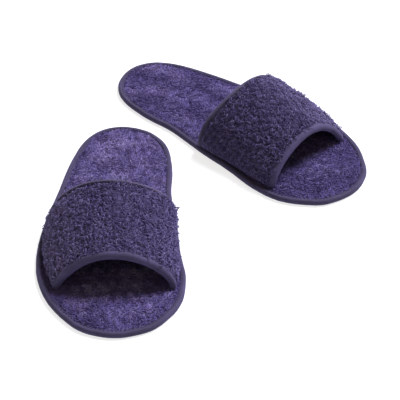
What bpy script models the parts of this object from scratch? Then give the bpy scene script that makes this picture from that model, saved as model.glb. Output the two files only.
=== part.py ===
"""A pair of open-toe terry spa slippers with bound edges, modelled in metres with +Z up.

Each slipper is a layered sole (outsole, foam, terry insole) held in a bias binding that wraps its
edge, and a padded vamp (terry, foam, lining) with a bound front and rear edge. The sole flexes at a
line behind the vamp, so each sole layer is modelled as a front and a heel piece.
"""
import math

import bmesh
import bpy
from mathutils import Matrix, Vector

MM = 0.001

# Sole outline: share of the length from the heel, then the medial and lateral half widths.
LENGTH = 285 * MM
STATIONS = (
    (0.01, 14.5 * MM, 13.5 * MM),
    (0.04, 29.3 * MM, 26.0 * MM),
    (0.11, 42.7 * MM, 37.6 * MM),
    (0.23, 48.0 * MM, 46.8 * MM),
    (0.36, 47.5 * MM, 53.3 * MM),
    (0.50, 53.0 * MM, 61.1 * MM),
    (0.63, 56.2 * MM, 64.7 * MM),
    (0.75, 61.2 * MM, 62.0 * MM),
    (0.86, 58.0 * MM, 50.6 * MM),
    (0.95, 41.5 * MM, 30.5 * MM),
    (0.985, 25.5 * MM, 15.0 * MM),
)
TOE_TIP_X = 4.5 * MM
OUTLINE_STEPS = 2

# Sole layers, from the floor up. GAP is the clearance between pieces that touch.
GAP = 0.3 * MM
CLOTH = 0.8 * MM
BINDING_BOTTOM = 0.2 * MM
BINDING_TOP = 5.2 * MM
BINDING_FLANGE = 5.0 * MM
BINDING_ROUND = 1.6 * MM
LAYER_INSET = CLOTH + GAP
RAISED_INSET = BINDING_FLANGE + 2 * GAP
OUTSOLE_PLATE_Z = (1.3 * MM, 1.9 * MM)
FOAM_Z = (2.2 * MM, 3.2 * MM)
INSOLE_RIM_Z = (3.5 * MM, 4.1 * MM)
INSOLE_TOP = BINDING_TOP
OVERLAP = 0.3 * MM

# The flex line lies behind the vamp. Y runs from the toe (negative) to the heel (positive).
FLEX_Y = 24.0 * MM
FLEX_GAP = 0.6 * MM

# Vamp: an arch over the forefoot. Its foundation surface is the middle of its foam. Its insets and
# powers are (lateral, medial): the power shapes how the arch rises from its foot, from below 1 for
# a steep, full side to 2 for a flat one.
VAMP_BASE_Z = BINDING_TOP + GAP
VAMP_LEG = 2.0 * MM
LEG_SHARE = 0.02
VAMP_REAR_INSET = (5.5 * MM, 4.5 * MM)
VAMP_FRONT_INSET = (13.0 * MM, 10.5 * MM)
VAMP_REAR_BASE_Y = 5.0 * MM
VAMP_REAR_TOP_Y = -6.0 * MM
VAMP_FRONT_BASE_Y = -88.0 * MM
VAMP_FRONT_TOP_Y = -87.0 * MM
VAMP_REAR_TOP_Z = 53.0 * MM
VAMP_FRONT_TOP_Z = 38.5 * MM
VAMP_REAR_POWER = (1.45, 0.72)
VAMP_FRONT_POWER = (1.90, 1.15)
VAMP_FOAM = (-1.0 * MM, 1.0 * MM)
VAMP_TERRY = (1.3 * MM, 3.3 * MM)
VAMP_LINING = (-2.1 * MM, -1.3 * MM)
FRONT_BINDING_WIDTH = 5.0 * MM
REAR_BINDING_WIDTH = 5.0 * MM
VAMP_BINDING_GAP = 0.9 * MM
ARCH_STEPS = 16
VAMP_STEPS = 3

# Where each slipper's middle stands, its turn about +Z, and the side its medial edge faces.
SLIPPERS = {
    "right": {"place": (-79.14 * MM, -55.58 * MM), "turn": 0.0, "medial": 1},
    "left": {"place": (29.61 * MM, 89.15 * MM), "turn": math.radians(47), "medial": -1},
}

COLOURS = {
    "outsole": ((0.045, 0.040, 0.060), 0.75),
    "midsole_foam": ((0.55, 0.53, 0.58), 0.9),
    "insole_terry": ((0.110, 0.090, 0.225), 1.0),
    "edge_binding": ((0.052, 0.042, 0.100), 0.8),
    "vamp_terry": ((0.075, 0.060, 0.140), 1.0),
    "vamp_foam": ((0.60, 0.58, 0.62), 0.9),
    "vamp_lining": ((0.060, 0.050, 0.110), 0.95),
    "vamp_front_binding": ((0.052, 0.042, 0.100), 0.8),
    "vamp_rear_binding": ((0.045, 0.036, 0.085), 0.85),
}


def clear_scene():
    for old in list(bpy.data.objects):
        bpy.data.objects.remove(old, do_unlink=True)


def new_collection(name):
    group = bpy.data.collections.new(name)
    bpy.context.scene.collection.children.link(group)
    return group


def material(kind):
    """One Principled material for each kind of sub-part, shared by both slippers."""
    made = bpy.data.materials.get(kind)
    if made:
        return made
    colour, roughness = COLOURS[kind]
    made = bpy.data.materials.new(kind)
    made.use_nodes = True
    shader = made.node_tree.nodes["Principled BSDF"]
    shader.inputs["Base Color"].default_value = (*colour, 1.0)
    shader.inputs["Roughness"].default_value = roughness
    shader.inputs["Metallic"].default_value = 0.0
    return made


def smooth_loop(points, steps):
    """A closed Catmull-Rom curve through the points, as a list of 2D points."""
    loop = []
    count = len(points)
    for i in range(count):
        a, b, c, d = (Vector(points[(i + k) % count]) for k in (-1, 0, 1, 2))
        for step in range(steps):
            t = step / steps
            loop.append(0.5 * (2 * b + (c - a) * t + (2 * a - 5 * b + 4 * c - d) * t ** 2
                               + (3 * b - a - 3 * c + d) * t ** 3))
    return loop


def sole_outline():
    """The outline, counter-clockwise from the heel, down the lateral side and up the medial one."""
    half = LENGTH / 2
    lateral = [(-width, half - share * LENGTH) for share, _, width in STATIONS]
    medial = [(width, half - share * LENGTH) for share, width, _ in reversed(STATIONS)]
    return smooth_loop([(0.0, half), *lateral, (TOE_TIP_X, -half), *medial], OUTLINE_STEPS)


def inset_loop(loop, inset):
    """The loop moved inwards by the same distance everywhere."""
    moved = []
    for i, point in enumerate(loop):
        along = (loop[(i + 1) % len(loop)] - loop[i - 1]).normalized()
        moved.append(point + inset * Vector((-along.y, along.x)))
    return moved


def mixed(start, end, share):
    return start + (end - start) * share


def edge_x(loop, y, medial):
    """The x of the outline at y, on its medial or its lateral side."""
    found = []
    for a, b in zip(loop, loop[1:] + loop[:1]):
        if (a.y - y) * (b.y - y) <= 0 and a.y != b.y:
            found.append(a.x + (b.x - a.x) * (y - a.y) / (b.y - a.y))
    return max(found) if medial else min(found)


def mesh_from_curve(curve_object):
    """The curve's evaluated mesh, with its caps welded on, in place of the curve object."""
    depsgraph = bpy.context.evaluated_depsgraph_get()
    mesh = bpy.data.meshes.new_from_object(curve_object.evaluated_get(depsgraph))
    welded = bmesh.new()
    welded.from_mesh(mesh)
    bmesh.ops.remove_doubles(welded, verts=welded.verts, dist=0.01 * MM)
    bmesh.ops.recalc_face_normals(welded, faces=welded.faces)
    welded.to_mesh(mesh)
    welded.free()
    bpy.data.objects.remove(curve_object)
    return mesh


def plate_mesh(name, loop, bottom, top):
    """A flat plate with the loop as its outline."""
    curve = bpy.data.curves.new(name, "CURVE")
    curve.dimensions = "2D"
    curve.fill_mode = "BOTH"
    curve.extrude = (top - bottom) / 2
    spline = curve.splines.new("POLY")
    spline.points.add(len(loop) - 1)
    for point, place in zip(spline.points, loop):
        point.co = (place.x, place.y, 0.0, 1.0)
    spline.use_cyclic_u = True
    flat = bpy.data.objects.new(name, curve)
    bpy.context.scene.collection.objects.link(flat)
    bpy.context.view_layer.update()
    mesh = mesh_from_curve(flat)
    mesh.transform(Matrix.Translation((0.0, 0.0, (bottom + top) / 2)))
    return mesh


def box_mesh(name, low, high):
    low, high = Vector(low), Vector(high)
    cube = bmesh.new()
    bmesh.ops.create_cube(cube, size=1.0)
    bmesh.ops.scale(cube, vec=high - low, verts=cube.verts)
    bmesh.ops.translate(cube, vec=(low + high) / 2, verts=cube.verts)
    mesh = bpy.data.meshes.new(name)
    cube.to_mesh(mesh)
    cube.free()
    return mesh


class Slipper:
    """Builds one slipper's pieces under its own empty, with a second empty on the flex line."""

    def __init__(self, side, parts, cutters):
        spec = SLIPPERS[side]
        self.side = side
        self.medial = spec["medial"]
        self.parts = parts
        self.cutters = cutters
        self.outline = sole_outline()
        self.base = self.empty(f"{side}_slipper_frame", None, (*spec["place"], 0.0))
        self.base.rotation_euler.z = spec["turn"]
        self.flex = self.empty(f"{side}_flex_frame", self.base, (0.0, FLEX_Y, INSOLE_TOP))

    def empty(self, name, parent, place):
        made = bpy.data.objects.new(name, None)
        made.empty_display_size = 20 * MM
        made.location = place
        made.parent = parent
        self.cutters.objects.link(made)
        return made

    def handed(self, mesh):
        """The mesh as this foot needs it: mirrored in x where the medial side faces -X."""
        if self.medial < 0:
            mesh.transform(Matrix.Scale(-1, 4, (1, 0, 0)))
            mesh.flip_normals()
        return mesh

    def piece(self, name, kind, mesh, moving=False):
        made = bpy.data.objects.new(f"{self.side}_{name}", self.handed(mesh))
        made.data.materials.append(material(kind))
        if moving:
            made.data.transform(Matrix.Translation(-self.flex.location))
        made.parent = self.flex if moving else self.base
        self.parts.objects.link(made)
        return made

    def cutter(self, name, mesh, moving):
        made = bpy.data.objects.new(f"{self.side}_{name}_cutter", self.handed(mesh))
        if moving:
            made.data.transform(Matrix.Translation(-self.flex.location))
        made.parent = self.flex if moving else self.base
        made.hide_render = True
        made.display_type = "WIRE"
        self.cutters.objects.link(made)
        return made

    def boolean(self, target, operation, name, mesh, moving):
        cut = target.modifiers.new(name, "BOOLEAN")
        cut.operation = operation
        cut.solver = "EXACT"
        cut.object = self.cutter(f"{target.name}_{name}", mesh, moving)

    def loop(self, inset):
        return inset_loop(self.outline, inset)

    def keep_side(self, target, moving):
        """Cut the piece at the flex line, keeping its heel side where it moves."""
        reach = LENGTH
        low_y, high_y = (-reach, FLEX_Y + FLEX_GAP / 2) if moving else (FLEX_Y - FLEX_GAP / 2, reach)
        box = box_mesh("flex_cut", (-reach, low_y, -reach), (reach, high_y, reach))
        self.boolean(target, "DIFFERENCE", "flex_cut", box, moving)

    def stepped_layer(self, name, kind, plate, raised, moving):
        """A sole layer: a plate that runs under the binding, and a raised middle inside it."""
        mesh = plate_mesh(name, self.loop(LAYER_INSET), *plate)
        layer = self.piece(name, kind, mesh, moving)
        if raised:
            middle = plate_mesh("middle", self.loop(RAISED_INSET), *raised)
            self.boolean(layer, "UNION", "raised_middle", middle, moving)
        self.keep_side(layer, moving)

    def outsole(self, part, moving):
        middle = (0.0, OUTSOLE_PLATE_Z[0] + OVERLAP)
        self.stepped_layer(f"outsole_{part}", "outsole", OUTSOLE_PLATE_Z, middle, moving)

    def midsole_foam(self, part, moving):
        self.stepped_layer(f"midsole_foam_{part}", "midsole_foam", FOAM_Z, None, moving)

    def insole_terry(self, part, moving):
        middle = (INSOLE_RIM_Z[1] - OVERLAP, INSOLE_TOP)
        self.stepped_layer(f"insole_terry_{part}", "insole_terry", INSOLE_RIM_Z, middle, moving)

    def edge_binding(self, part, moving):
        """A C-section cloth strip around the sole's edge, with a flange above and one below."""
        name = f"edge_binding_{part}"
        outer = plate_mesh(name, self.outline, BINDING_BOTTOM, BINDING_TOP)
        strip = self.piece(name, "edge_binding", outer, moving)
        bevel = strip.modifiers.new("rounded_edge", "BEVEL")
        bevel.width = BINDING_ROUND
        bevel.segments = 1
        bevel.limit_method = "ANGLE"
        bevel.angle_limit = math.radians(60)
        hollow = plate_mesh("hollow", self.loop(CLOTH), BINDING_BOTTOM + CLOTH, BINDING_TOP - CLOTH)
        self.boolean(strip, "DIFFERENCE", "hollow", hollow, moving)
        window = plate_mesh("window", self.loop(BINDING_FLANGE), -BINDING_TOP, 2 * BINDING_TOP)
        self.boolean(strip, "DIFFERENCE", "window", window, moving)
        self.keep_side(strip, moving)

    def arch_point(self, across, along, rise=0.0):
        """A point of the vamp's foundation: across runs 0 to 1 lateral to medial, along rear to front.

        A little past 0 and 1, across runs down a straight leg below each foot. A rise above or below
        zero moves the point off the surface, along its normal.
        """
        y_base = mixed(VAMP_REAR_BASE_Y, VAMP_FRONT_BASE_Y, along)
        y_top = mixed(VAMP_REAR_TOP_Y, VAMP_FRONT_TOP_Y, along)
        insets = [mixed(rear, front, along) for rear, front in zip(VAMP_REAR_INSET, VAMP_FRONT_INSET)]
        powers = [mixed(rear, front, along) for rear, front in zip(VAMP_REAR_POWER, VAMP_FRONT_POWER)]
        lateral = edge_x(self.outline, y_base, False) + insets[0]
        medial = edge_x(self.outline, y_base, True) - insets[1]
        leg_foot = VAMP_BASE_Z + VAMP_LEG
        height = mixed(VAMP_REAR_TOP_Z, VAMP_FRONT_TOP_Z, along) - leg_foot
        inside = min(max(across, 0.0), 1.0)
        angle = math.pi * inside
        sine = max(math.sin(angle), 0.0)
        point = Vector((mixed(lateral, medial, (1 - math.cos(angle)) / 2),
                        mixed(y_base, y_top, sine),
                        leg_foot + height * sine ** mixed(*powers, inside)))
        point.z -= VAMP_LEG * abs(across - inside) / LEG_SHARE
        if rise:
            point += rise * self.arch_normal(across, along)
        return point

    def arch_tangent(self, across, along):
        step = 0.01
        return (self.arch_point(across, along + step) - self.arch_point(across, along - step)).normalized()

    def arch_normal(self, across, along):
        step = 0.004
        low, high = max(across - step, -LEG_SHARE), min(across + step, 1.0 + LEG_SHARE)
        side = self.arch_point(high, along) - self.arch_point(low, along)
        return self.arch_tangent(across, along).cross(side).normalized()

    def arch_grid(self, rows):
        """An open surface from rows of points, each row a list along the vamp or its binding."""
        surface = bmesh.new()
        grid = [[surface.verts.new(point) for point in row] for row in rows]
        for here, there in zip(grid, grid[1:]):
            for i in range(len(here) - 1):
                surface.faces.new((here[i], here[i + 1], there[i + 1], there[i]))
        mesh = bpy.data.meshes.new("arch")
        surface.to_mesh(mesh)
        surface.free()
        return mesh

    def rows_over(self, row_for):
        """Rows over the arch, from the end of one leg to the end of the other."""
        shares = [i / ARCH_STEPS for i in range(ARCH_STEPS + 1)]
        return [row_for(across) for across in (-LEG_SHARE, *shares, 1.0 + LEG_SHARE)]

    def shell(self, name, kind, rows, inner, outer):
        """A layer of the vamp: the surface thickened from inner to outer, measured along its normals."""
        layer = self.piece(name, kind, self.arch_grid(rows))
        solid = layer.modifiers.new("thickness", "SOLIDIFY")
        solid.thickness = outer - inner
        solid.offset = 2 * inner / (outer - inner) + 1
        solid.use_even_offset = True
        for face in layer.data.polygons:
            face.use_smooth = True
        layer.data.set_sharp_from_angle(angle=math.radians(40))
        return layer

    def flange_values(self, along, width):
        """Steps along the vamp under a binding's flange, from its inner edge to the vamp's edge."""
        share = width / (VAMP_REAR_BASE_Y - VAMP_FRONT_BASE_Y)
        return [abs(along - share), abs(along - share / 2), float(along)]

    def vamp_layer(self, name, kind, span):
        rear = self.flange_values(0, REAR_BINDING_WIDTH)[::-1]
        front = self.flange_values(1, FRONT_BINDING_WIDTH)
        stride = (front[0] - rear[-1]) / VAMP_STEPS
        between = [rear[-1] + stride * step for step in range(1, VAMP_STEPS)]
        values = rear + between + front
        rows = self.rows_over(lambda across: [self.arch_point(across, along) for along in values])
        self.shell(name, kind, rows, *span)

    def vamp_binding(self, name, along, width):
        """A U-section strip around the vamp's front (along 1) or rear (along 0) edge."""
        outer = VAMP_TERRY[1] + VAMP_BINDING_GAP + CLOTH / 2
        inner = VAMP_LINING[0] - VAMP_BINDING_GAP - CLOTH / 2
        middle = (outer + inner) / 2
        outward = 1 if along else -1
        lip = 2 * GAP + CLOTH / 2
        flange = self.flange_values(along, width)

        def row(across):
            edge = self.arch_point(across, along)
            normal = self.arch_normal(across, along)
            forward = self.arch_tangent(across, along) * outward
            above = [self.arch_point(across, place, outer) for place in flange]
            bight = [edge + normal * (middle + (outer - middle) * 0.7) + forward * lip * 0.8,
                     edge + normal * middle + forward * lip * 1.3,
                     edge + normal * (middle + (inner - middle) * 0.7) + forward * lip * 0.8]
            below = [self.arch_point(across, place, inner) for place in reversed(flange)]
            points = above + bight + below
            return points if along else points[::-1]

        self.shell(name, name, self.rows_over(row), -CLOTH / 2, CLOTH / 2)

    def build(self):
        for part, moving in (("front", False), ("heel", True)):
            self.outsole(part, moving)
            self.midsole_foam(part, moving)
            self.insole_terry(part, moving)
            self.edge_binding(part, moving)
        self.vamp_layer("vamp_terry", "vamp_terry", VAMP_TERRY)
        self.vamp_layer("vamp_foam", "vamp_foam", VAMP_FOAM)
        self.vamp_layer("vamp_lining", "vamp_lining", VAMP_LINING)
        self.vamp_binding("vamp_front_binding", 1, FRONT_BINDING_WIDTH)
        self.vamp_binding("vamp_rear_binding", 0, REAR_BINDING_WIDTH)


def main():
    clear_scene()
    parts = new_collection("spa_slippers")
    cutters = new_collection("cutters")
    for side in SLIPPERS:
        Slipper(side, parts, cutters).build()


main()
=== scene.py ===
import math

import bpy
import numpy as np
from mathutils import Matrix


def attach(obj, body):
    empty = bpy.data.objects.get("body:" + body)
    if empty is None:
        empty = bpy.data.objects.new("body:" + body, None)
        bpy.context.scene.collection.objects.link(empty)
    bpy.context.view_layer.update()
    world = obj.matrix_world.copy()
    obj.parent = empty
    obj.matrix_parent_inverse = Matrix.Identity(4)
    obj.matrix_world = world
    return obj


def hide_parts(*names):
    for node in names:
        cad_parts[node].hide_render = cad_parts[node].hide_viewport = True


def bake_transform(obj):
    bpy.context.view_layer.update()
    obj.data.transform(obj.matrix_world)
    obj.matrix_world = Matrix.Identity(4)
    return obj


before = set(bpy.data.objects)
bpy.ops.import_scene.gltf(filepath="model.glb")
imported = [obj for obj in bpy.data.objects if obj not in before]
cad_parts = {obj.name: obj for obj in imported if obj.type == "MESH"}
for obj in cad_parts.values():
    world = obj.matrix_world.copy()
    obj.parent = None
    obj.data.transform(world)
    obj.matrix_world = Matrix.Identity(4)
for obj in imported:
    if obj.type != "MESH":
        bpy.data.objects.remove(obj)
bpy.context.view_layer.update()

# The looks of a pair of open-toe terry spa slippers. Every piece is built in its slipper's own
# frame, in metres: X across the foot, Y from the toe (negative) to the heel, Z up. Then it is
# mirrored for the left foot, turned and placed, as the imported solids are.

MM = 0.001

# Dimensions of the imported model, repeated.
LENGTH = 285 * MM
STATIONS = (
    (0.01, 14.5 * MM, 13.5 * MM),
    (0.04, 29.3 * MM, 26.0 * MM),
    (0.11, 42.7 * MM, 37.6 * MM),
    (0.23, 48.0 * MM, 46.8 * MM),
    (0.36, 47.5 * MM, 53.3 * MM),
    (0.50, 53.0 * MM, 61.1 * MM),
    (0.63, 56.2 * MM, 64.7 * MM),
    (0.75, 61.2 * MM, 62.0 * MM),
    (0.86, 58.0 * MM, 50.6 * MM),
    (0.95, 41.5 * MM, 30.5 * MM),
    (0.985, 25.5 * MM, 15.0 * MM),
)
TOE_TIP_X = 4.5 * MM
SOLE_TOP = 5.2 * MM
VAMP_BASE_Z = 5.5 * MM
VAMP_LEG = 2.0 * MM
VAMP_REAR_INSET = (5.5 * MM, 4.5 * MM)
VAMP_FRONT_INSET = (13.0 * MM, 10.5 * MM)
VAMP_REAR_BASE_Y = 5.0 * MM
VAMP_REAR_TOP_Y = -6.0 * MM
VAMP_FRONT_BASE_Y = -88.0 * MM
VAMP_FRONT_TOP_Y = -87.0 * MM
VAMP_REAR_TOP_Z = 53.0 * MM
VAMP_FRONT_TOP_Z = 38.5 * MM
VAMP_REAR_POWER = (1.45, 0.72)
VAMP_FRONT_POWER = (1.90, 1.15)
SLIPPERS = {
    "right": {"place": (-79.14 * MM, -55.58 * MM), "turn": 0.0, "medial": 1},
    "left": {"place": (29.61 * MM, 89.15 * MM), "turn": math.radians(47), "medial": -1},
}


# ---------------------------------------------------------------- outline and arch

def smooth_loop(points, steps):
    """A closed Catmull-Rom curve through 2D points."""
    points = np.asarray(points, float)
    t = (np.arange(steps) / steps)[:, None]
    stretches = []
    for i in range(len(points)):
        a, b, c, d = (points[(i + k) % len(points)] for k in (-1, 0, 1, 2))
        stretches.append(0.5 * (2 * b + (c - a) * t + (2 * a - 5 * b + 4 * c - d) * t ** 2
                                + (3 * b - a - 3 * c + d) * t ** 3))
    return np.vstack(stretches)


def distances(points):
    """The distance along a line of points, from the first to each."""
    return np.concatenate([[0], np.cumsum(np.linalg.norm(np.diff(points, axis=0), axis=1))])


def even_loop(loop, count):
    """The closed loop again, with points evenly spaced along it."""
    closed = np.vstack([loop, loop[:1]])
    along = distances(closed)
    at = np.linspace(0, along[-1], count, endpoint=False)
    return np.stack([np.interp(at, along, closed[:, k]) for k in (0, 1)], axis=1)


def sole_outline(steps=16):
    half = LENGTH / 2
    lateral = [(-width, half - share * LENGTH) for share, _, width in STATIONS]
    medial = [(width, half - share * LENGTH) for share, width, _ in reversed(STATIONS)]
    return smooth_loop([(0.0, half), *lateral, (TOE_TIP_X, -half), *medial], steps)


def relaxed(loop, rounds=6):
    """The loop with the small changes of curvature between its stations evened out."""
    for _ in range(rounds):
        loop = 0.5 * loop + 0.25 * (np.roll(loop, 1, axis=0) + np.roll(loop, -1, axis=0))
    return loop


def loop_inward(loop):
    """Unit vectors that point into the loop, one for each point."""
    along = np.roll(loop, -1, axis=0) - np.roll(loop, 1, axis=0)
    along /= np.linalg.norm(along, axis=1)[:, None]
    return np.stack([-along[:, 1], along[:, 0]], axis=1)


OUTLINE_POINTS = 360
OUTLINE = relaxed(even_loop(sole_outline(), OUTLINE_POINTS))
INWARD = loop_inward(OUTLINE)


def edge_tables(loop):
    """The y and x of the lateral and of the medial side, each with y rising."""
    heel = int(np.argmax(loop[:, 1]))
    toe = (int(np.argmin(loop[:, 1])) - heel) % len(loop)
    rolled = np.roll(loop, -heel, axis=0)
    return rolled[:toe + 1][::-1], np.vstack([rolled[toe:], rolled[:1]])


LATERAL, MEDIAL = edge_tables(sole_outline())


def edge_x(y, side):
    return np.interp(y, side[:, 1], side[:, 0])


def mixed(start, end, share):
    return start + (end - start) * share


# How far across values run past 0 and 1, down the straight leg below each foot of the arch.
LEG_SHARE = 0.02


def arch(across, along):
    """Points of the vamp's foundation, the middle of its foam: lateral to medial, rear to front."""
    across, along = np.broadcast_arrays(np.asarray(across, float), np.asarray(along, float))
    y_base = mixed(VAMP_REAR_BASE_Y, VAMP_FRONT_BASE_Y, along)
    y_top = mixed(VAMP_REAR_TOP_Y, VAMP_FRONT_TOP_Y, along)
    insets = [mixed(rear, front, along) for rear, front in zip(VAMP_REAR_INSET, VAMP_FRONT_INSET)]
    powers = [mixed(rear, front, along) for rear, front in zip(VAMP_REAR_POWER, VAMP_FRONT_POWER)]
    lateral = edge_x(y_base, LATERAL) + insets[0]
    medial = edge_x(y_base, MEDIAL) - insets[1]
    leg_foot = VAMP_BASE_Z + VAMP_LEG
    height = mixed(VAMP_REAR_TOP_Z, VAMP_FRONT_TOP_Z, along) - leg_foot
    inside = np.clip(across, 0, 1)
    angle = math.pi * inside
    sine = np.clip(np.sin(angle), 0, 1)
    x = mixed(lateral, medial, (1 - np.cos(angle)) / 2)
    y = mixed(y_base, y_top, sine)
    z = leg_foot + height * sine ** mixed(*powers, inside)
    return np.stack([x, y, z - VAMP_LEG * np.abs(across - inside) / LEG_SHARE], axis=-1)


def arch_frame(across, along, rise):
    """Points at a rise above the arch, with the normal and the tangents across and along."""
    step = 0.004
    low, high = np.maximum(across - step, -LEG_SHARE), np.minimum(across + step, 1 + LEG_SHARE)
    over = arch(high, along) - arch(low, along)
    down = arch(across, along + step) - arch(across, along - step)
    over /= np.linalg.norm(over, axis=-1)[..., None]
    down /= np.linalg.norm(down, axis=-1)[..., None]
    normal = np.cross(down, over)
    normal /= np.linalg.norm(normal, axis=-1)[..., None]
    return arch(across, along) + normal * rise[..., None], normal, over, down


# ---------------------------------------------------------------- placing and making meshes

def placed(side, points):
    """Points in a slipper's own frame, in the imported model's frame."""
    spec = SLIPPERS[side]
    c, s = math.cos(spec["turn"]), math.sin(spec["turn"])
    x, y = points[..., 0] * spec["medial"], points[..., 1]
    return np.stack([spec["place"][0] + c * x - s * y, spec["place"][1] + s * x + c * y,
                     points[..., 2]], axis=-1)


def mesh_piece(side, name, points, faces, materials, material_index=None):
    """One mesh piece of a slipper; faces are an array of quads or of triangles."""
    faces = np.asarray(faces, np.int32)
    if SLIPPERS[side]["medial"] < 0:
        faces = faces[:, ::-1]
    mesh = bpy.data.meshes.new(f"{side}_{name}")
    verts = placed(side, np.asarray(points, float).reshape(-1, 3)).astype(np.float32)
    mesh.vertices.add(len(verts))
    mesh.vertices.foreach_set("co", verts.ravel())
    corners = faces.shape[1]
    mesh.loops.add(faces.size)
    mesh.loops.foreach_set("vertex_index", faces.ravel())
    mesh.polygons.add(len(faces))
    mesh.polygons.foreach_set("loop_start", np.arange(0, faces.size, corners, dtype=np.int32))
    for material in materials:
        mesh.materials.append(material)
    if material_index is not None:
        mesh.polygons.foreach_set("material_index", np.asarray(material_index, np.int32))
    mesh.polygons.foreach_set("use_smooth", np.full(len(faces), True))
    mesh.update(calc_edges=True)
    piece = bpy.data.objects.new(f"{side}_{name}", mesh)
    bpy.context.scene.collection.objects.link(piece)
    return piece


def grid_faces(rows, columns, wrap_rows=False, wrap_columns=False):
    """Quads over a grid of points, joined end to end where it wraps."""
    r = np.arange(rows if wrap_rows else rows - 1)
    c = np.arange(columns if wrap_columns else columns - 1)
    r, c = np.meshgrid(r, c, indexing="ij")
    r2, c2 = (r + 1) % rows, (c + 1) % columns
    quads = np.stack([r * columns + c, r * columns + c2, r2 * columns + c2, r2 * columns + c], axis=-1)
    return quads.reshape(-1, 4)


def repeated_faces(one, count, points):
    """The faces of one thing again for each of its copies, which have so many points each."""
    return (one[None] + (np.arange(count) * points)[:, None, None]).reshape(-1, 4)


def bend_with_sole(piece):
    """Bakes the piece's placement into its mesh."""
    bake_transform(piece)


# ---------------------------------------------------------------- noise

def soft_noise(points, size, seed, octaves=3):
    """Smooth noise from -1 to 1, as a sum of sine waves in seeded directions."""
    rng = np.random.default_rng(seed)
    total, weight = np.zeros(points.shape[:-1]), 0.0
    for octave in range(octaves):
        for _ in range(7):
            direction = rng.normal(size=points.shape[-1])
            reach = 2 * math.pi / size * 2 ** octave * rng.uniform(0.6, 1.4)
            direction *= reach / np.linalg.norm(direction)
            total += np.sin(points @ direction + rng.uniform(0, 2 * math.pi)) / 2 ** octave
        weight += 3.2 / 2 ** octave
    return np.clip(total / weight, -1, 1)


# ---------------------------------------------------------------- materials

def principled(name, colour, roughness, sheen=0.0, sheen_tint=None):
    material = bpy.data.materials.new(name)
    material.use_nodes = True
    shader = material.node_tree.nodes["Principled BSDF"]
    shader.inputs["Base Color"].default_value = (*colour, 1.0)
    shader.inputs["Roughness"].default_value = roughness
    shader.inputs["Specular IOR Level"].default_value = 0.25
    shader.inputs["Sheen Weight"].default_value = sheen
    shader.inputs["Sheen Roughness"].default_value = 0.45
    if sheen_tint:
        shader.inputs["Sheen Tint"].default_value = (*sheen_tint, 1.0)
    return material, material.node_tree, shader


def node(tree, kind, **values):
    made = tree.nodes.new(kind)
    for key, value in values.items():
        if key in made.inputs:
            made.inputs[key].default_value = value
        else:
            setattr(made, key, value)
    return made


def coordinates(tree, scale=(1, 1, 1), turn=0.0):
    """Object coordinates, stretched and turned."""
    place = node(tree, "ShaderNodeTexCoord")
    mapping = node(tree, "ShaderNodeMapping")
    mapping.inputs["Scale"].default_value = scale
    mapping.inputs["Rotation"].default_value = (0, 0, turn)
    tree.links.new(place.outputs["Object"], mapping.inputs["Vector"])
    return mapping.outputs["Vector"]


def noise(tree, vector, scale, detail=3.0, roughness=0.55):
    made = node(tree, "ShaderNodeTexNoise", Scale=scale, Detail=detail, Roughness=roughness)
    tree.links.new(vector, made.inputs["Vector"])
    return made.outputs["Fac"]


def ramp(tree, factor, stops):
    made = tree.nodes.new("ShaderNodeValToRGB")
    elements = made.color_ramp.elements
    while len(elements) < len(stops):
        elements.new(0.5)
    for element, (position, colour) in zip(elements, stops):
        element.position, element.color = position, (*colour, 1.0)
    tree.links.new(factor, made.inputs["Fac"])
    return made.outputs["Color"]


def bump(tree, shader, height, strength, distance):
    made = node(tree, "ShaderNodeBump", Strength=strength, Distance=distance)
    tree.links.new(height, made.inputs["Height"])
    tree.links.new(made.outputs["Normal"], shader.inputs["Normal"])


def shade(colour, factor):
    return tuple(min(value * factor, 1.0) for value in colour)


def yarn_material(name, colour, sheen=0.35):
    """Soft cotton yarn: fine fuzz in its bump and roughness, over one dyed colour."""
    material, tree, shader = principled(name, colour, 0.9, sheen, shade(colour, 4.0))
    vector = coordinates(tree)
    fuzz = noise(tree, vector, 2600.0, 2.0)
    rough = node(tree, "ShaderNodeMapRange")
    rough.inputs["To Min"].default_value, rough.inputs["To Max"].default_value = 0.82, 1.0
    tree.links.new(fuzz, rough.inputs["Value"])
    tree.links.new(rough.outputs["Result"], shader.inputs["Roughness"])
    bump(tree, shader, fuzz, 0.5, 0.0002)
    return material


def ground_material(name, colour):
    """The woven ground that the pile stands on, with small loops in its bump. It is darker than the
    yarn: painted shade between the loops.
    """
    material, tree, shader = principled(name, colour, 1.0, 0.15, shade(colour, 3.0))
    vector = coordinates(tree)
    loops = noise(tree, vector, 420.0, 4.0, 0.65)
    stops = [(0.30, shade(colour, 0.55)), (0.5, colour), (0.72, shade(colour, 1.55))]
    tree.links.new(ramp(tree, loops, stops), shader.inputs["Base Color"])
    bump(tree, shader, loops, 0.9, 0.0012)
    return material


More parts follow.
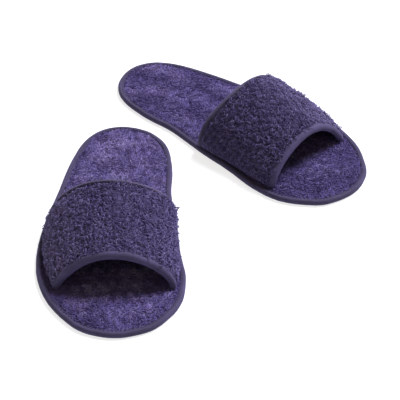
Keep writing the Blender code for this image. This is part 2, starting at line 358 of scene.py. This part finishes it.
def tape_material(name, colour, turn):
    """Cotton bias tape: a fine diagonal twill, faint wear and uneven dye."""
    material, tree, shader = principled(name, colour, 0.78, 0.35, shade(colour, 4.0))
    vector = coordinates(tree, turn=turn)
    twill = node(tree, "ShaderNodeTexWave", Scale=520.0, Distortion=1.2, Detail=2.0)
    twill.bands_direction = "DIAGONAL"
    tree.links.new(vector, twill.inputs["Vector"])
    blotch = noise(tree, vector, 60.0, 4.0)
    tone = ramp(tree, blotch, [(0.3, shade(colour, 0.8)), (0.5, colour), (0.7, shade(colour, 1.28))])
    thread = ramp(tree, twill.outputs["Fac"], [(0.0, (0.80, 0.80, 0.80)), (1.0, (1.0, 1.0, 1.0))])
    mix = node(tree, "ShaderNodeMix", data_type="RGBA", blend_type="MULTIPLY")
    mix.inputs[0].default_value = 1.0
    tree.links.new(tone, mix.inputs[6])
    tree.links.new(thread, mix.inputs[7])
    tree.links.new(mix.outputs[2], shader.inputs["Base Color"])
    fine = noise(tree, vector, 900.0, 3.0)
    add = node(tree, "ShaderNodeMath", operation="ADD")
    tree.links.new(twill.outputs["Fac"], add.inputs[0])
    tree.links.new(fine, add.inputs[1])
    bump(tree, shader, add.outputs["Value"], 0.35, 0.0004)
    return material


def rubber_material(name, colour):
    """Foam rubber: matte, with fine pores and scuffs."""
    material, tree, shader = principled(name, colour, 0.8)
    vector = coordinates(tree)
    scuffs = noise(tree, vector, 90.0, 5.0, 0.7)
    tone = ramp(tree, scuffs, [(0.3, shade(colour, 0.75)), (0.6, colour), (0.8, shade(colour, 1.7))])
    tree.links.new(tone, shader.inputs["Base Color"])
    bump(tree, shader, noise(tree, vector, 1500.0, 2.0), 0.4, 0.0002)
    return material


def foam_material(name, colour):
    """Open foam: pale, with small dark cells."""
    material, tree, shader = principled(name, colour, 0.95)
    cells = node(tree, "ShaderNodeTexVoronoi", Scale=900.0)
    tree.links.new(coordinates(tree), cells.inputs["Vector"])
    tone = ramp(tree, cells.outputs["Distance"], [(0.0, shade(colour, 0.7)), (0.5, colour)])
    tree.links.new(tone, shader.inputs["Base Color"])
    bump(tree, shader, cells.outputs["Distance"], 0.5, 0.0003)
    return material


def knit_material(name, colour):
    """Plain knitted lining: fine ribs."""
    material, tree, shader = principled(name, colour, 0.95, 0.1, shade(colour, 3.0))
    vector = coordinates(tree)
    ribs = node(tree, "ShaderNodeTexWave", Scale=300.0, Distortion=2.0, Detail=2.0)
    tree.links.new(vector, ribs.inputs["Vector"])
    tone = ramp(tree, ribs.outputs["Fac"], [(0.0, shade(colour, 0.7)), (1.0, shade(colour, 1.2))])
    tree.links.new(tone, shader.inputs["Base Color"])
    bump(tree, shader, ribs.outputs["Fac"], 0.5, 0.0003)
    return material


INSOLE = (0.130, 0.105, 0.262)
VAMP = (0.090, 0.073, 0.175)
TAPE = (0.040, 0.032, 0.082)
DARK_TAPE = (0.051, 0.042, 0.092)
YARN_TINTS = ((0.56, 0.52, 0.68), (0.82, 0.80, 0.90), (1.05, 1.04, 1.06), (1.34, 1.38, 1.26))


def yarns(name, colour):
    """Four shades of a yarn, from deep violet to a lighter, greyer violet. Each loop's shade follows
    random patches, and painted light and shade.
    """
    return [yarn_material(f"{name}_{i}", tuple(np.multiply(colour, tint)))
            for i, tint in enumerate(YARN_TINTS)]


INSOLE_YARNS = yarns("insole_yarn", INSOLE)
VAMP_YARNS = yarns("vamp_yarn", VAMP)
# Each ground is its yarn's colour darkened: painted shade in the gaps between the loops.
INSOLE_GROUND = ground_material("insole_ground", shade(INSOLE, 0.5))
VAMP_GROUND = ground_material("vamp_ground", shade(VAMP, 0.6))
EDGE_TAPE = tape_material("edge_tape", TAPE, 0.0)
# The vamp's front tape is the edge tape made lighter: painted light, for an edge that gets less light.
FRONT_TAPE = tape_material("front_tape", shade(TAPE, 1.27), 0.6)
REAR_TAPE = tape_material("rear_tape", DARK_TAPE, 0.3)
THREAD = yarn_material("thread", shade(TAPE, 0.8), 0.2)
OUTSOLE = rubber_material("outsole_rubber", (0.050, 0.045, 0.065))
SOLE_FOAM = foam_material("sole_foam", (0.55, 0.53, 0.58))
VAMP_FOAM = foam_material("vamp_padding", (0.60, 0.58, 0.62))
# The lining's near-black brown is painted shade for the inside of the vamp.
LINING = knit_material("lining_knit", (0.022, 0.018, 0.016))


# ---------------------------------------------------------------- yarn loops

# The sides of a yarn's section.
SECTION = 3


def yarn_loops(roots, normals, forward, size, segments, rng):
    """Curled loops of yarn. size gives height, width, radius, lean, curl and stray.

    roots, normals and forward are (n, 3) arrays; forward is the way that the pile is brushed, and
    stray is how far each loop turns from it. Returns points of shape (n, segments + 1, SECTION, 3).
    """
    count = len(roots)
    height, width, radius, lean, curl, stray = size
    side = np.cross(normals, forward)
    turn = stray * rng.normal(0, 1, count)
    across = np.cos(turn)[:, None] * forward + np.sin(turn)[:, None] * side
    beside = np.cross(normals, across)
    tall = height * rng.uniform(0.65, 1.35, count)[:, None]
    wide = width * rng.uniform(0.6, 1.4, count)[:, None]
    tip = normals + forward * (lean * rng.uniform(0.5, 1.5, count))[:, None]
    tip += stray * (across * rng.normal(0, 0.3, count)[:, None]
                    + beside * rng.normal(0, 0.4, count)[:, None])
    tip /= np.linalg.norm(tip, axis=1)[:, None]
    twist = curl * rng.normal(0, 1, count)[:, None]
    phase = np.linspace(0.04, 0.96, segments + 1) * math.pi
    path = np.stack([
        roots - across * wide * math.cos(a) / 2 * (1 + 0.5 * math.sin(a))
        + tip * tall * math.sin(a) + beside * twist * math.sin(2 * a) for a in phase], axis=1)
    along = np.gradient(path, axis=1)
    along /= np.linalg.norm(along, axis=2)[..., None]
    first = np.cross(along, beside[:, None, :])
    first /= np.linalg.norm(first, axis=2)[..., None]
    second = np.cross(along, first)
    thick = radius * rng.uniform(0.8, 1.2, count)[:, None, None]
    ring = []
    for corner in range(SECTION):
        a = 2 * math.pi * corner / SECTION
        ring.append(path + thick * (math.cos(a) * first + math.sin(a) * second))
    return np.stack(ring, axis=2)


def loops_piece(side, name, points, shades, materials):
    """One piece from all the loops, with each loop in one of the yarn's shades."""
    count, rings, corners, _ = points.shape
    one = grid_faces(rings, corners, wrap_columns=True)
    faces = repeated_faces(one, count, rings * corners)
    return mesh_piece(side, name, points, faces, materials, np.repeat(shades, len(one)))


def yarn_shades(patches, rng, spread):
    """A shade from 0 to 3 for each loop, from soft patches with a scatter of odd ones. The patches
    passed in also carry painted light and shade.
    """
    return np.clip(np.round(1.5 + patches + rng.normal(0, spread, len(patches))), 0, 3).astype(np.int32)


# ---------------------------------------------------------------- the sole

# The share to which the nested rings of a sole layer shrink, where a ladder of quads closes them.
NARROWEST = 0.012

# How far the sole's middle line reaches towards its two ends.
SPINE_REACH = 0.74

# The layers: insets from the outline and heights. The outsole's rim is (inset, height) pairs in mm.
TREAD_INSET, TREAD_DEPTH = 5.9 * MM, 0.28 * MM
TREAD_PITCH, TREAD_WAVE = 4.2 * MM, 9 * MM
OUTSOLE_RIM = ((5.5, 0.25), (5.3, 1.25), (1.3, 1.3), (1.3, 1.9))
OUTSOLE_INSET, OUTSOLE_TOP_Z = 1.3 * MM, 1.9 * MM
FOAM_INSET, FOAM_BOTTOM_Z, FOAM_TOP_Z = 1.4 * MM, 2.1 * MM, 3.3 * MM
CLOTH_INSET, CLOTH_UNDER_Z = 1.5 * MM, 3.5 * MM

# The insole's cloth rises from its height at the tape, over this reach, to a padded middle.
CLOTH_EDGE_Z, CROWN_START, CROWN_REACH = 4.0 * MM, 4.5 * MM, 7 * MM
CROWN_RISE, CROWN_WAVES = 1.6 * MM, 0.9 * MM
CLOTH_BUMPS = 0.25 * MM

# The tape's closed section, as (inset, height). It puckers most above its shoulder.
BINDING_PROFILE = [(inset * MM, height * MM) for inset, height in (
    (5.2, 4.4), (5.15, 4.9), (4.7, 5.25), (4.0, 5.25), (3.2, 5.55), (2.2, 5.7), (1.2, 5.45),
    (0.45, 4.75), (0.05, 3.8), (-0.05, 2.8), (0.1, 1.9), (0.6, 0.95), (1.5, 0.35), (2.8, 0.22),
    (4.0, 0.32), (4.9, 0.27), (5.0, 0.75), (4.0, 1.0), (2.2, 1.05), (1.1, 1.7), (0.85, 2.8),
    (1.1, 3.9), (2.2, 4.45), (4.0, 4.4))]
BINDING_SHOULDER_Z = 4.5 * MM
LOW_PUCKER = 0.25

STITCH_INSET = 4.05 * MM
STITCH_PITCH = 3.4 * MM
STITCH_LENGTH = 2.5 * MM
STITCH_RADIUS = 0.3 * MM

# The seam's two rows, above and below: height, way up, and how far the stitches bow out, in mm.
SEAM_ROWS = ((5.3 * MM, 1.0, 0.3), (0.4 * MM, -1.0, 0.05))


def spine(loop):
    """For each outline point, the point of the sole's middle line that its ring shrinks to."""
    y = loop[:, 1] * SPINE_REACH
    return np.stack([(edge_x(y, LATERAL) + edge_x(y, MEDIAL)) / 2, y], axis=1)


def sole_rings(inset, shares):
    """Nested rings from the outline, moved in by the inset, down to the sole's middle line."""
    loop = OUTLINE + INWARD * inset
    middle = spine(loop)
    return np.stack([middle + (loop - middle) * share for share in shares])


def at_height(flat, z):
    """Flat rings again, all at one height."""
    return np.concatenate([flat, np.full((*flat.shape[:2], 1), z)], axis=-1)


def edge_binding(side, seed):
    """The bias tape around the sole, rolled over its edge and unevenly puckered."""
    around = np.column_stack([OUTLINE, np.zeros(len(OUTLINE))])
    slow = soft_noise(around, 45 * MM, seed)
    quick = soft_noise(around, 9 * MM, seed + 1)
    sway = slow * 0.25 * MM + quick * 0.10 * MM
    swell = quick * 0.14 * MM + slow * 0.12 * MM
    rows = []
    for inset, height in BINDING_PROFILE:
        flat = OUTLINE + INWARD * inset + INWARD * sway[:, None]
        pucker = 1.0 if height > BINDING_SHOULDER_Z else LOW_PUCKER
        rows.append(np.column_stack([flat, height + pucker * swell]))
    faces = grid_faces(len(BINDING_PROFILE), len(OUTLINE), wrap_rows=True, wrap_columns=True)[:, ::-1]
    piece = mesh_piece(side, "edge_binding", np.stack(rows), faces, [EDGE_TAPE])
    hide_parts(f"{side}_edge_binding_front", f"{side}_edge_binding_heel")
    bend_with_sole(piece)


def stitches(starts, ends, ups, bow):
    """Short stitches between pairs of points, bowed in mm: six-sided tubes with narrow ends."""
    sides, rings = 6, 5
    along = ends - starts
    axis = along / np.linalg.norm(along, axis=1)[:, None]
    second = np.cross(axis, ups)
    t = np.linspace(0, 1, rings)
    width = STITCH_RADIUS * np.array([0.25, 0.9, 1.0, 0.9, 0.25])
    points = []
    for share, radius in zip(t, width):
        middle = starts + along * share + ups * (math.sin(math.pi * share) * bow * MM)
        ring = [middle + radius * (math.cos(a) * ups + math.sin(a) * second)
                for a in np.arange(sides) * 2 * math.pi / sides]
        points.append(np.stack(ring, axis=1))
    points = np.stack(points, axis=1)
    one = grid_faces(rings, sides, wrap_columns=True)
    return points, repeated_faces(one, len(starts), rings * sides)


def edge_stitching(side):
    """The seam through the edge binding, seen as a row of stitches above and one below."""
    loop = OUTLINE + INWARD * STITCH_INSET
    lengths = distances(loop)
    count = int(lengths[-1] / STITCH_PITCH)
    begins = np.arange(count) * lengths[-1] / count

    def at(distance, z):
        return np.column_stack([np.interp(distance, lengths, loop[:, 0]),
                                np.interp(distance, lengths, loop[:, 1]), np.full(count, z)])
    (above, faces), (below, more) = [
        stitches(at(begins, z), at(begins + STITCH_LENGTH, z), np.tile([0.0, 0.0, up], (count, 1)), bow)
        for z, up, bow in SEAM_ROWS]
    above, below = above.reshape(-1, 3), below.reshape(-1, 3)
    piece = mesh_piece(side, "edge_stitching", np.concatenate([above, below]),
                       np.concatenate([faces, more + len(above)]), [THREAD])
    bend_with_sole(piece)


def capped_sweep(rows):
    """Faces over rows of closed rings, with the first and the last ring closed by a ladder of quads."""
    count, ring = rows.shape[:2]
    faces = [grid_faces(count, ring, wrap_columns=True)]
    for row, flip in ((0, 1), (count - 1, -1)):
        i = np.arange(ring // 2 - 1)
        cap = np.stack([i, ring - 1 - i, ring - 2 - i, i + 1], axis=1) + row * ring
        faces.append(cap[:, ::flip])
    return np.concatenate(faces)


def outsole(side):
    """The foam-rubber outsole, stepped up at its rim to take the tape, with small tread ribs."""
    shares = np.linspace(NARROWEST, 1, 60)
    bottom = sole_rings(TREAD_INSET, shares)
    wave = 1.3 * np.sin(bottom[..., 0] * 2 * math.pi / TREAD_WAVE)
    tread = TREAD_DEPTH * (0.5 + 0.5 * np.sin(bottom[..., 1] * 2 * math.pi / TREAD_PITCH + wave))
    fade = np.clip((1 - shares) * 14, 0, 1)[:, None]
    bottom = np.concatenate([bottom, (tread * fade)[..., None]], axis=-1)
    rim = [np.column_stack([OUTLINE + INWARD * inset * MM, np.full(len(OUTLINE), z * MM)])
           for inset, z in OUTSOLE_RIM]
    top = at_height(sole_rings(OUTSOLE_INSET, np.linspace(1, NARROWEST, 5)[1:]), OUTSOLE_TOP_Z)
    rings = np.concatenate([bottom, np.stack(rim), top])
    piece = mesh_piece(side, "outsole", rings, capped_sweep(rings), [OUTSOLE])
    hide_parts(f"{side}_outsole_front", f"{side}_outsole_heel")
    bend_with_sole(piece)


def midsole(side):
    """The foam between outsole and insole, hidden by the tape."""
    rings = np.concatenate([
        at_height(sole_rings(FOAM_INSET, np.linspace(NARROWEST, 1, 6)), FOAM_BOTTOM_Z),
        at_height(sole_rings(FOAM_INSET, np.linspace(1, NARROWEST, 6)), FOAM_TOP_Z)])
    piece = mesh_piece(side, "midsole_foam", rings, capped_sweep(rings), [SOLE_FOAM])
    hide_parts(f"{side}_midsole_foam_front", f"{side}_midsole_foam_heel")
    bend_with_sole(piece)


def insole_height(flat):
    """Height of the insole's cloth: padded in the middle, drawn down where it meets the tape."""
    gap = edge_distance(flat)
    crown = 1.0 - np.exp(-np.clip(gap - CROWN_START, 0, None) / CROWN_REACH)
    waves = soft_noise(flat / MM, 24.0, 5, 3) * CROWN_WAVES
    return CLOTH_EDGE_Z + crown * (CROWN_RISE + waves)


def edge_distance(flat):
    """Distance from the outline, inwards, for an array of flat points."""
    shape = flat.shape[:-1]
    points = flat.reshape(-1, 2)
    found = np.full(len(points), 1.0)
    for begin in range(0, len(OUTLINE), 30):
        part = OUTLINE[begin:begin + 30]
        found = np.minimum(found, np.linalg.norm(points[:, None] - part[None], axis=2).min(axis=1))
    return found.reshape(shape)


def insole(side, seed):
    """The terry cloth that the foot stands on: its woven ground, and its brushed pile."""
    top = sole_rings(CLOTH_INSET, np.linspace(NARROWEST, 1, 46))
    z = insole_height(top) + soft_noise(top / MM, 3.2, seed, 2) * CLOTH_BUMPS
    top = np.concatenate([top, z[..., None]], axis=-1)
    under = at_height(sole_rings(CLOTH_INSET, np.linspace(1, NARROWEST, 6)), CLOTH_UNDER_Z)
    rings = np.concatenate([top, under])
    ground = mesh_piece(side, "insole_terry", rings, capped_sweep(rings)[:, ::-1], [INSOLE_GROUND])
    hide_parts(f"{side}_insole_terry_front", f"{side}_insole_terry_heel")
    pile = insole_pile(side, seed)
    bend_with_sole(ground)
    bend_with_sole(pile)


# The insole's pile: its spacing, how far inside the outline it begins, in mm, the size of its
# loops, and where the painted shade along its rim begins to fade.
PILE_SPACING = 1.52 * MM
PILE_START, PILE_START_NOISE = 5.3, 0.8
PILE_HEIGHT, PILE_WIDTH, PILE_RADIUS = 1.75 * MM, 2.8 * MM, 0.36 * MM
PILE_LEAN, PILE_CURL, PILE_STRAY = 1.6, 0.5 * MM, 0.55
PILE_SHADED_RIM = 5.6 * MM


def insole_pile(side, seed):
    """Brushed terry: long loops that lie over each other. The left slipper's are painted darker: painted
    shade.
    """
    rng = np.random.default_rng(seed)
    x, y = np.meshgrid(*(np.arange(low, high, PILE_SPACING)
                         for low, high in zip(OUTLINE.min(axis=0), OUTLINE.max(axis=0))))
    x[1::2] += PILE_SPACING / 2
    flat = np.column_stack([x.ravel(), y.ravel()]) + rng.uniform(-0.42, 0.42, (x.size, 2)) * PILE_SPACING
    inside = (flat[:, 0] > edge_x(flat[:, 1], LATERAL)) & (flat[:, 0] < edge_x(flat[:, 1], MEDIAL))
    flat = flat[inside]
    gap = edge_distance(flat)
    kept = gap > (PILE_START + PILE_START_NOISE * soft_noise(flat / MM, 7.0, seed + 8, 2)) * MM
    flat, gap = flat[kept], gap[kept]
    roots = np.column_stack([flat, insole_height(flat) - 0.1 * MM])
    normals = np.tile([0.0, 0.0, 1.0], (len(flat), 1))
    brushed = math.pi * (0.5 + 0.8 * soft_noise(flat / MM, 50.0, seed + 2, 1)
                         + 0.5 * soft_noise(flat / MM, 12.0, seed + 4, 2))
    forward = np.column_stack([np.cos(brushed), np.sin(brushed), np.zeros(len(flat))])
    tufts = 1 + 0.4 * soft_noise(flat / MM, 6.0, seed + 6, 1)
    size = (PILE_HEIGHT * tufts[:, None], PILE_WIDTH, PILE_RADIUS, PILE_LEAN, PILE_CURL, PILE_STRAY)
    points = yarn_loops(roots, normals, forward, size, 3, rng)
    toe = np.clip(-flat[:, 1] / (LENGTH / 3), 0, 1)
    patches = 1.1 * soft_noise(flat / MM, 34.0, seed + 3, 1)
    patches += (1.0 + 1.2 * toe) * soft_noise(flat / MM, 11.0, seed + 5, 2)
    # Painted shade and light: the left slipper's pile is darker all over, and each insole is lighter
    # towards the heel and darker towards the toe.
    bias = (-1.15 if side == "left" else -0.15) + 0.5 * flat[:, 1] / (LENGTH / 2)
    # Painted shade along the rim where the pile meets the tape, reaching further in at the toe.
    rim = gap - PILE_SHADED_RIM
    bias -= 0.9 * np.exp(-rim / (3.5 * MM)) + 2.2 * toe * np.exp(-rim / (9 * MM))
    shades = yarn_shades(patches + bias, rng, 0.22)
    piece = loops_piece(side, "insole_pile", points, shades, INSOLE_YARNS)
    return piece


# ---------------------------------------------------------------- the vamp

VAMP_LONG = VAMP_REAR_BASE_Y - VAMP_FRONT_BASE_Y
ACROSS = np.concatenate([[-LEG_SHARE], np.linspace(0, 1, 91), [1 + LEG_SHARE]])

# The outer and the inner face of each layer, as rises over the foundation.
PADDING_FACES = (1.0 * MM, -1.0 * MM)
TERRY_FACES = (2.5 * MM, 1.3 * MM)
LINING_FACES = (-1.3 * MM, -2.1 * MM)
TERRY_BUMPS = 0.35 * MM


def vamp_layer(side, name, faces, steps, material, seed=0, rough=0.0):
    """A layer of the vamp between its two faces, with small bumps on the outer one."""
    outer, inner = faces
    along = np.linspace(0, 1, steps)
    across = ACROSS[:, None]
    rise = np.full((len(ACROSS), steps), outer)
    if rough:
        rise = rise + rough * soft_noise(arch(across, along[None]) / MM, 3.4, seed, 2)
    above, *_ = arch_frame(across, along[None], rise)
    below, *_ = arch_frame(across, along[None, ::-1], np.full(rise.shape, inner))
    rows = np.concatenate([above, below], axis=1)
    return mesh_piece(side, name, rows, capped_sweep(rows), [material])


def show_on_vamp(side, piece, name):
    """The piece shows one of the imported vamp's solids, and moves with the slipper's front."""
    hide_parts(f"{side}_{name}")
    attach(piece, f"{side}_slipper")


def vamp_cloth(side, seed):
    """The outer terry of the vamp, the lining inside it, and the padding between them."""
    padding = vamp_layer(side, "vamp_padding", PADDING_FACES, 24, VAMP_FOAM)
    show_on_vamp(side, padding, "vamp_foam")
    cloth = vamp_layer(side, "vamp_cloth", TERRY_FACES, 70, VAMP_GROUND, seed, TERRY_BUMPS)
    show_on_vamp(side, cloth, "vamp_terry")
    lining = vamp_layer(side, "vamp_lining_cloth", LINING_FACES, 24, LINING)
    show_on_vamp(side, lining, "vamp_lining")
    for piece, faces in ((cloth, TERRY_FACES), (lining, LINING_FACES)):
        area, width = arch_area(sum(faces) / 2)


def arch_area(rise):
    """The area of the vamp's cloth, and its greatest width over the arch."""
    along = np.linspace(0, 1, 20)[None]
    points, *_ = arch_frame(ACROSS[:, None], along, np.full((len(ACROSS), along.size), rise))
    a, b, c = points[:-1, :-1], points[1:, :-1], points[:-1, 1:]
    area = float(np.linalg.norm(np.cross(b - a, c - a), axis=-1).sum())
    widths = np.linalg.norm(np.diff(points, axis=0), axis=-1).sum(axis=0)
    return area, float(widths.max())


# The vamp's pile: its spacing, the stretch of the vamp's length that it covers, the rise of its
# roots, and the size of its loops, with their height in mm.
VAMP_PILE_SPACING = 1.36 * MM
VAMP_PILE_REAR = 0.02
VAMP_PILE_FRONT = 1 - 3.0 * MM / VAMP_LONG
VAMP_PILE_RISE = 2.45 * MM
VAMP_PILE_HEIGHT, VAMP_PILE_WIDTH, VAMP_PILE_RADIUS = 2.3, 2.6 * MM, 0.37 * MM
VAMP_PILE_LEAN, VAMP_PILE_CURL, VAMP_PILE_STRAY = 0.8, 0.8 * MM, 0.7

# How far in from its rear edge the vamp's pile begins, in mm, at five places across each vamp.
PILE_STARTS_ACROSS = (0, 0.3, 0.5, 0.8, 1)
PILE_STARTS = {"right": (8.5, 7.4, 5.2, 3.4, 3.0), "left": (3.0, 3.2, 4.4, 6.6, 7.2)}


def fade_below(value, limit, reach):
    """0 at the limit and above, rising to 1 where the value is a whole reach below it."""
    return np.clip((limit - value) / reach, 0, 1)


def proud_loops(side, across, along):
    """How much taller than the rest, in mm, the loops stand on the flanks of each vamp."""
    if side == "right":
        medial = 0.9 * np.clip((across - 0.6) / 0.3, 0, 1) * fade_below(along, 0.9, 0.35)
        return medial + 0.3 * fade_below(across, 0.32, 0.15)
    return fade_below(across, 0.4, 0.2)


def painted_flank_light(side, across):
    """How many shades lighter and greyer than the rest the loops are on the lateral flank of each vamp:
    painted light.
    """
    if side == "right":
        return 2.4 * fade_below(across, 0.4, 0.3)
    return 1.5 * fade_below(across, 0.5, 0.15)


def vamp_pile(side, seed):
    """Curly terry loops over the vamp, in rows an even distance apart."""
    rng = np.random.default_rng(seed)
    step = VAMP_PILE_SPACING / VAMP_LONG
    across_all, along_all = [], []
    for along in np.arange(VAMP_PILE_REAR, VAMP_PILE_FRONT, step):
        line = np.linspace(-LEG_SHARE, 1 + LEG_SHARE, 400)
        lengths = distances(arch(line, np.full(400, along)))
        at = np.arange(rng.uniform(0, VAMP_PILE_SPACING), lengths[-1], VAMP_PILE_SPACING)
        at = np.clip(at + rng.uniform(-0.4, 0.4, len(at)) * VAMP_PILE_SPACING, 0, lengths[-1])
        across_all.append(np.interp(at, lengths, line))
        along_all.append(along + rng.uniform(-0.4, 0.4, len(at)) * step)
    across, along = np.concatenate(across_all), np.concatenate(along_all)
    starts = np.interp(across, PILE_STARTS_ACROSS, PILE_STARTS[side]) * MM / VAMP_LONG
    kept = (along > starts) & (across > 0) & (across < 1)
    across, along = across[kept], along[kept]
    roots, normals, over, down = arch_frame(across, along, np.full(len(across), VAMP_PILE_RISE))
    lay = math.pi * (0.25 + 0.8 * soft_noise(roots / MM, 26.0, seed + 1, 1)
                     + 0.8 * soft_noise(roots / MM, 9.0, seed + 4, 1))
    forward = np.cos(lay)[:, None] * down + np.sin(lay)[:, None] * over
    tufts = 1 + 0.5 * soft_noise(roots / MM, 5.0, seed + 3, 1)
    low = np.clip((roots[:, 2] - SOLE_TOP) / (7 * MM), 0.35, 1)
    tall = (VAMP_PILE_HEIGHT + proud_loops(side, across, along)) * MM * tufts * low
    size = (tall[:, None], VAMP_PILE_WIDTH * low[:, None], VAMP_PILE_RADIUS, VAMP_PILE_LEAN,
            VAMP_PILE_CURL, VAMP_PILE_STRAY)
    points = yarn_loops(roots, normals, forward, size, 4, rng)
    points[..., 2] = np.maximum(points[..., 2], SOLE_TOP - 0.5 * MM)
    # Random patches of tone, plus painted light on each vamp's lateral flank.
    patches = 1.1 * soft_noise(roots / MM, 6.0, seed + 2, 2) + painted_flank_light(side, across)
    piece = loops_piece(side, "vamp_pile", points, yarn_shades(patches, rng, 0.8), VAMP_YARNS)
    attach(piece, f"{side}_slipper")


# Closed sections of the two tapes, as (how far past the cloth's edge, rise over the foundation).
FRONT_PROFILE = (
    (-5.0, 2.7), (-4.9, 3.4), (-4.0, 3.9), (-2.9, 4.0), (-1.6, 3.9), (-0.5, 3.4), (0.5, 2.5),
    (1.1, 1.3), (1.3, 0.0), (1.1, -1.2), (0.4, -2.2), (-1.0, -2.7), (-3.0, -2.8), (-4.9, -2.7),
    (-4.9, -2.25), (-3.0, -2.3), (-1.0, -2.2), (0.2, -1.3), (0.6, 0.0), (0.3, 1.4),
    (-0.6, 2.6), (-1.8, 2.9), (-3.2, 2.9), (-4.6, 2.65))
REAR_PROFILE = (
    (-4.6, 2.7), (-4.4, 3.4), (-3.2, 3.9), (-1.8, 3.9), (-0.5, 3.4), (0.5, 2.5), (0.9, 1.3),
    (1.0, 0.2), (0.8, -1.1), (0.3, -2.1), (-0.8, -2.7), (-2.6, -2.8), (-4.4, -2.7),
    (-4.4, -2.25), (-2.6, -2.3), (-0.9, -2.2), (0.2, -1.2), (0.4, 0.1), (0.2, 1.4), (-0.8, 2.6),
    (-2.2, 2.9), (-4.0, 2.65))


def edge_fullness(across):
    """1 along the vamp's edge, falling to 0 where it comes down to the sole."""
    return 1 - (1 - np.clip(np.sin(math.pi * np.clip(across, 0, 1)) / 0.65, 0, 1)) ** 2


def vamp_binding(side, name, edge, profile, foot, material, seed):
    """Tape rolled around the vamp's front (edge 1) or rear (edge 0), scaled by foot at its feet."""
    outward = 1 if edge else -1
    forward, rise = np.array(profile).T * MM
    across = ACROSS[:, None]
    fullness = edge_fullness(across)
    along = edge + outward * forward[None] * mixed(foot, 1.0, fullness) / VAMP_LONG
    pucker = soft_noise(arch(ACROSS, np.full(len(ACROSS), float(edge))) / MM, 11.0, seed, 2) * 0.16 * MM
    rises = rise[None] + np.sign(rise)[None] * pucker[:, None]
    rises = np.where(rises > 0, rises * mixed(foot, 1.0, fullness), rises)
    rows, *_ = arch_frame(across, along, rises)
    piece = mesh_piece(side, f"{name}_tape", rows, capped_sweep(rows)[:, ::outward], [material])
    show_on_vamp(side, piece, name)


def vamp_stitching(side, name, edge, back, rise):
    """A row of stitches through the tape, close to its inner edge."""
    line = np.linspace(0.01, 0.99, 600)
    outward = 1 if edge else -1
    along = edge - outward * back / VAMP_LONG
    points, normals, *_ = arch_frame(line, np.full(600, along), np.full(600, rise))
    lengths = distances(points)
    count = int(lengths[-1] / STITCH_PITCH)
    begins = np.arange(count) * lengths[-1] / count

    def at(distance, source):
        return np.column_stack([np.interp(distance, lengths, source[:, k]) for k in range(3)])
    ups = at(begins, normals)
    ups /= np.linalg.norm(ups, axis=1)[:, None]
    made, faces = stitches(at(begins, points), at(begins + STITCH_LENGTH, points), ups, 0.2)
    piece = mesh_piece(side, f"{name}_stitching", made, faces, [THREAD])
    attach(piece, f"{side}_slipper")


def slipper(side, seed):
    outsole(side)
    midsole(side)
    insole(side, seed)
    edge_binding(side, seed + 10)
    edge_stitching(side)
    vamp_cloth(side, seed + 20)
    vamp_pile(side, seed + 30)
    vamp_binding(side, "vamp_front_binding", 1, FRONT_PROFILE, 0.68, FRONT_TAPE, seed + 40)
    vamp_binding(side, "vamp_rear_binding", 0, REAR_PROFILE, 0.8, REAR_TAPE, seed + 50)
    vamp_stitching(side, "vamp_front_binding", 1, 4.0 * MM, 4.0 * MM)
    vamp_stitching(side, "vamp_rear_binding", 0, 3.4 * MM, 4.0 * MM)


slipper("right", 100)
slipper("left", 200)


# ---------------------------------------------------------------- floor, camera and light

WHITE = (1.0, 1.0, 1.0, 1.0)
FLOOR_SIZE = 60.0
FLOOR_COLOUR, FLOOR_GLOW = (0.38, 0.40, 0.48), 0.72
WALL_RADIUS, WALL_HEIGHT, WALL_GLOW = 12.0, 1.4, 1.0
CAMERA_PLACE = (-0.0063, -1.0615, 0.8175)
CAMERA_DOWN = 38.1
CAMERA_LENS, CAMERA_SENSOR = 134.85, 36.0
FILL, FILL_COLOUR = 0.38, (1.0, 0.90, 0.64, 1.0)
KEY, KEY_COLOUR = 6.4, (0.99, 0.98, 1.05)
KEY_SPREAD, KEY_TILT, KEY_TURN = 28, 38.7, 131.5


def glow(name, colour, strength):
    """The thing that was just added is named and given a matte colour that also glows white."""
    thing = bpy.context.object
    thing.name = name
    material, _, shader = principled(name, colour, 0.9)
    shader.inputs["Emission Color"].default_value = WHITE
    shader.inputs["Emission Strength"].default_value = strength
    thing.data.materials.append(material)


def floor():
    """A pale floor that glows like a light table, and a low glowing wall all round it."""
    bpy.ops.mesh.primitive_plane_add(size=FLOOR_SIZE, location=(0, 0, 0))
    glow("floor", FLOOR_COLOUR, FLOOR_GLOW)
    bpy.ops.mesh.primitive_cylinder_add(vertices=96, radius=WALL_RADIUS, depth=WALL_HEIGHT,
                                        end_fill_type="NOTHING", location=(0, 0, WALL_HEIGHT / 2))
    glow("backdrop", (0.0, 0.0, 0.0), WALL_GLOW)


def camera():
    """A long lens about 0.8 m above the floor, turned down at the pair."""
    lens = bpy.data.cameras.new("camera")
    lens.sensor_width = CAMERA_SENSOR
    lens.lens = CAMERA_LENS
    seen = bpy.data.objects.new("camera", lens)
    seen.location = CAMERA_PLACE
    seen.rotation_euler = (math.radians(90 - CAMERA_DOWN), 0, 0)
    bpy.context.scene.collection.objects.link(seen)
    bpy.context.scene.camera = seen


def studio():
    """A broad light from behind on the right, and a weak even fill."""
    world = bpy.data.worlds.new("studio")
    bpy.context.scene.world = world
    world.use_nodes = True
    background = world.node_tree.nodes["Background"]
    background.inputs["Color"].default_value = FILL_COLOUR
    background.inputs["Strength"].default_value = FILL
    lamp = bpy.data.lights.new("key", "SUN")
    lamp.energy = KEY
    lamp.color = KEY_COLOUR
    lamp.angle = math.radians(KEY_SPREAD)
    key = bpy.data.objects.new("key", lamp)
    key.rotation_euler = (math.radians(KEY_TILT), 0, math.radians(KEY_TURN))
    bpy.context.scene.collection.objects.link(key)
    bpy.context.scene.view_settings.view_transform = "Standard"


floor()
camera()
studio()
